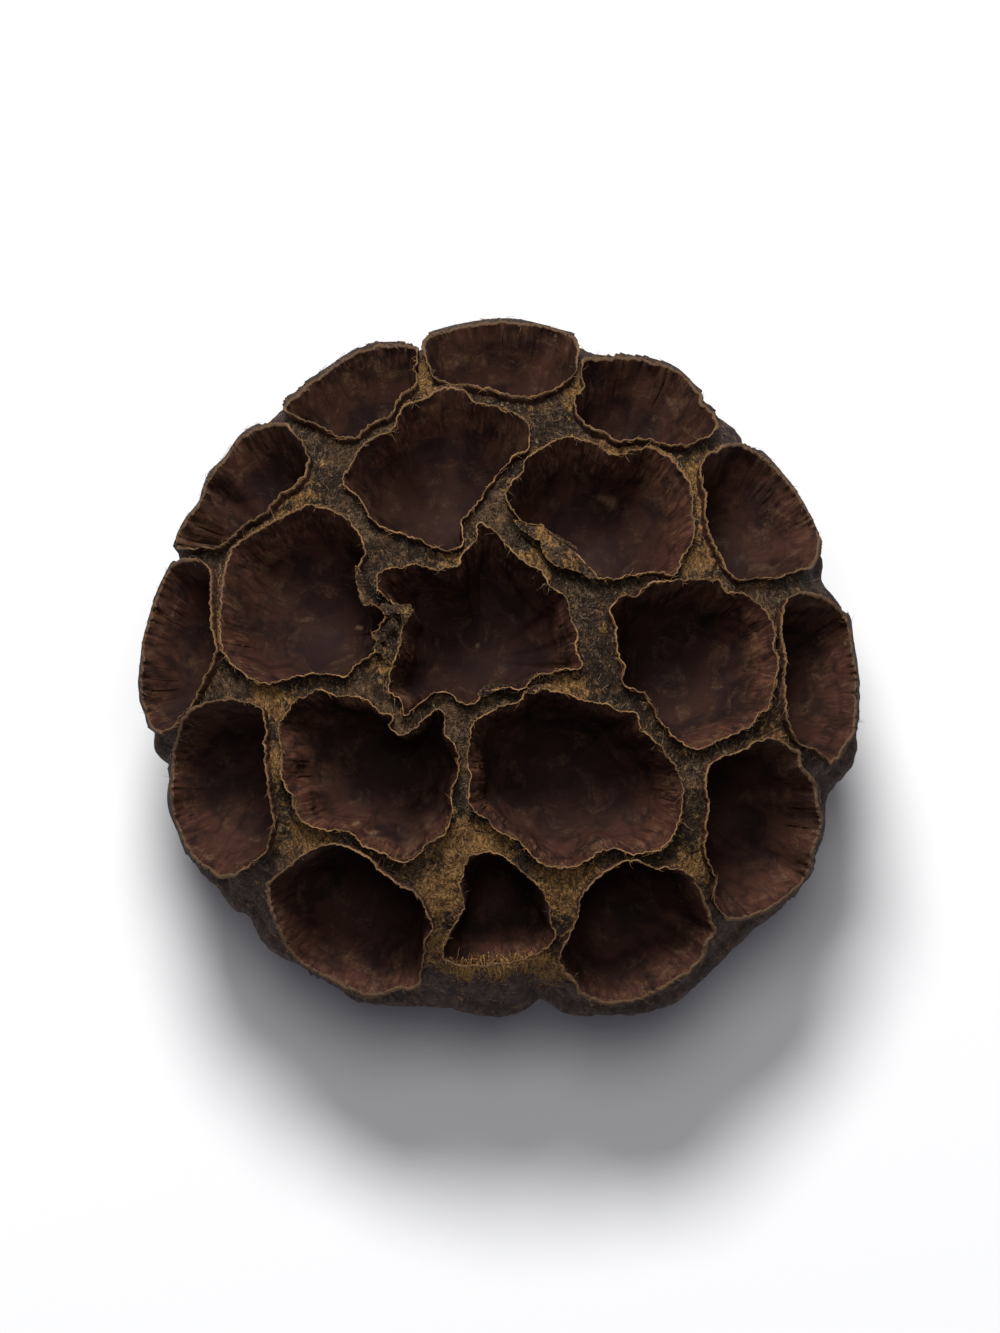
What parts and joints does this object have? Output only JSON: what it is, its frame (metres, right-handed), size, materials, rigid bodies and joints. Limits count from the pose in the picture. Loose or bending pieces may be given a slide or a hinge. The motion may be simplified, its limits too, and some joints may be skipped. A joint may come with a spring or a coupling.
{
  "type": "dried lotus seed pod",
  "caption": "Dried lotus seed pod: a domed woody seed head with a face of empty, paper-lipped seed sockets, tapering to a cut stalk end.",
  "frame": {"origin": "middle of the flat cut end of the stalk, on which the pod stands", "axes": "+Z along the pod's axis, from the cut stalk end up and out through the face; +Y is the top of the picture and +X its right"},
  "size_m": [0.0898, 0.0881, 0.0595],
  "materials": {
    "pod": "matt, dry and fibrous"
  },
  "bodies": {
    "root": {"pod": "pod"}
  },
  "joints": []
}
